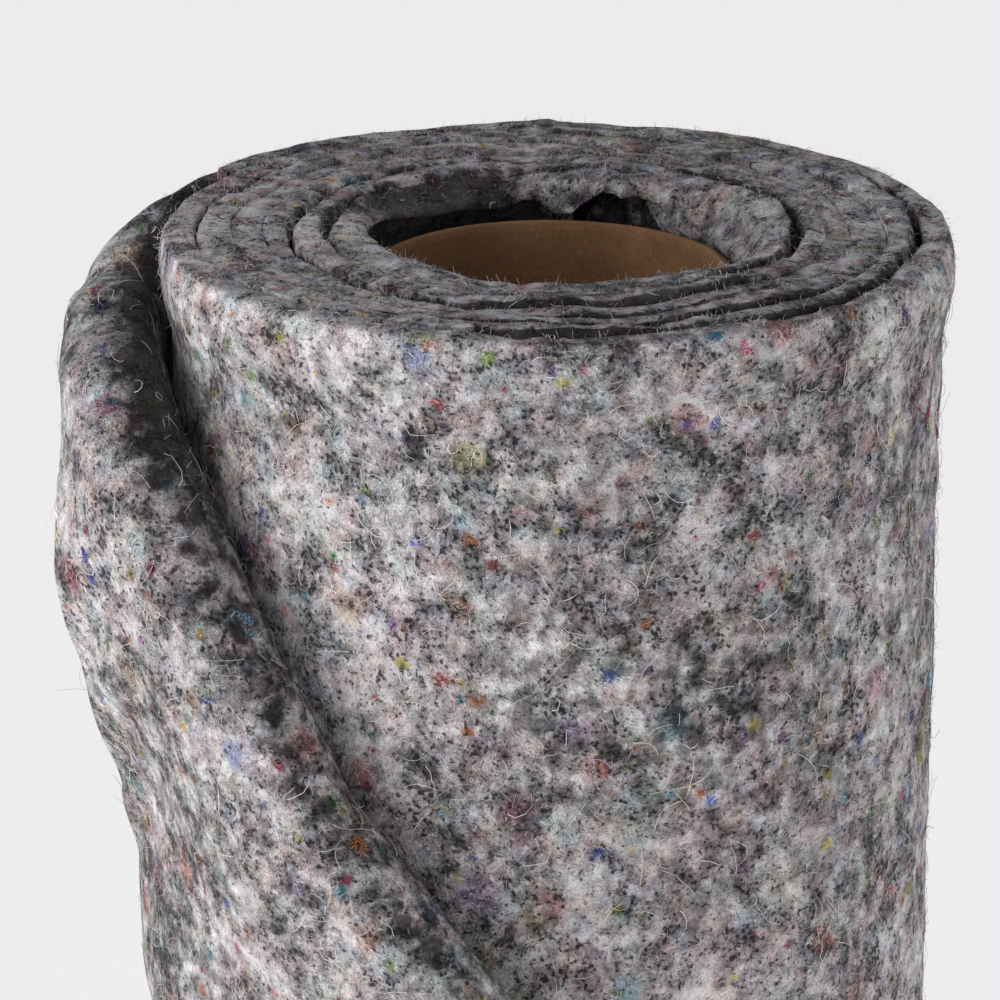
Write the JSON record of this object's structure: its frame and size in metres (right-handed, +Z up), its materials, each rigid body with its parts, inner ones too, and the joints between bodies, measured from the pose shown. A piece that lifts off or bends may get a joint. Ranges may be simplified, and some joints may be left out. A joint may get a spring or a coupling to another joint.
{
  "type": "roll of pond underlay",
  "caption": "Upright roll of thick recycled-fibre felt on a cardboard core, with its loose end's top corner folded outward and down.",
  "frame": {"origin": "on the floor, under the middle of the roll's outline with its loose end included", "axes": "+Z up along the roll's length, which stands on end; -Y is the front; the loose end's folded corner is at -X"},
  "size_m": [0.2038, 0.1884, 1.0005],
  "materials": {
    "felt": "matte, hairy, heathered grey with coloured flecks",
    "cardboard": "matte, spiral wound"
  },
  "bodies": {
    "root": {"core_tube": "cardboard", "felt_roll": "felt", "loose_end": "felt"}
  },
  "joints": []
}
